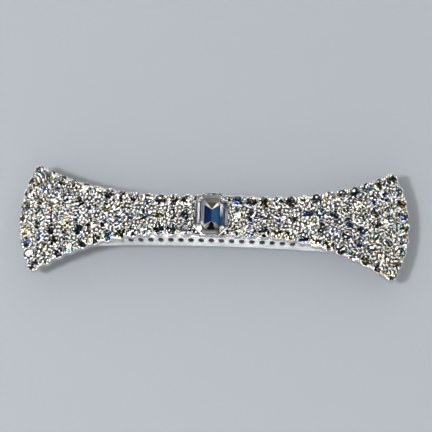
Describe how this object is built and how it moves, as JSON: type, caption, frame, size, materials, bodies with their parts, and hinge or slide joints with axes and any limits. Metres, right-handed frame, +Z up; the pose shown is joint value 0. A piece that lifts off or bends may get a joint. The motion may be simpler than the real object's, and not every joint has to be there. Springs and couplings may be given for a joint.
{
  "type": "rhinestone hair clip",
  "caption": "Bow-shaped barrette: an arched metal frame set with rhinestones and an octagonal centre stone, over a hinged clasp arm with a squeeze catch.",
  "frame": {"origin": "middle of the closed clasp arm's flat underside, at the centre of the bottom of the part's box", "axes": "+X along the clip towards the catch, +Y to the rear, +Z up through the centre stone"},
  "size_m": [0.102, 0.0286, 0.0161],
  "materials": {
    "cast_silver": "bright rhodium-plated casting",
    "clip_silver": "bright nickel-plated stamped steel",
    "spring_steel": "fine-brushed spring steel",
    "crystal": "foil-backed faceted crystal glass",
    "center_crystal": "foil-backed step-cut crystal glass"
  },
  "bodies": {
    "bow": {"bow_frame": "cast_silver", "center_setting": "cast_silver", "center_stone": "center_crystal", "left_stones_01": "crystal", "left_stones_02": "crystal", "left_stones_03": "crystal", "left_stones_04": "crystal", "left_stones_05": "crystal", "left_stones_06": "crystal", "left_stones_07": "crystal", "left_stones_08": "crystal", "left_stones_09": "crystal", "left_stones_10": "crystal", "left_stones_11": "crystal", "left_stones_12": "crystal", "left_stones_13": "crystal", "right_stones_01": "crystal", "right_stones_02": "crystal", "right_stones_03": "crystal", "right_stones_04": "crystal", "right_stones_05": "crystal", "right_stones_06": "crystal", "right_stones_07": "crystal", "right_stones_08": "crystal", "right_stones_09": "crystal", "right_stones_10": "crystal", "right_stones_11": "crystal", "right_stones_12": "crystal", "right_stones_13": "crystal", "clip_base": "clip_silver", "hinge_pin": "spring_steel", "catch_plate": "spring_steel", "catch_rivet": "spring_steel"},
    "arm": {"clasp_arm": "clip_silver"},
    "spring": {"bow_spring": "spring_steel"},
    "finger_front": {"catch_finger_front": "spring_steel"},
    "finger_rear": {"catch_finger_rear": "spring_steel"}
  },
  "joints": [
    {"name": "arm_hinge", "type": "hinge", "parent": "bow", "child": "arm", "pos_m": [-0.0365, 0, 0.0026], "axis": [0, 1, 0], "range_deg": [0, 100]},
    {"name": "spring_flex", "type": "slide", "parent": "bow", "child": "spring", "axis": [0, 0, 1], "range_m": [0, 0.0009], "stiffness_N_per_m": 800},
    {"name": "squeeze_front", "type": "hinge", "parent": "bow", "child": "finger_front", "pos_m": [0.035, -0.00225, 0.0064], "axis": [1, 0, 0], "range_deg": [0, 10], "stiffness_Nm_per_rad": 0.02},
    {"name": "squeeze_rear", "type": "hinge", "parent": "bow", "child": "finger_rear", "pos_m": [0.035, 0.00225, 0.0064], "axis": [-1, 0, 0], "range_deg": [0, 10], "stiffness_Nm_per_rad": 0.02}
  ],
  "couplings": [
    {"joint": "squeeze_rear", "follows": "squeeze_front", "ratio": 1}
  ]
}
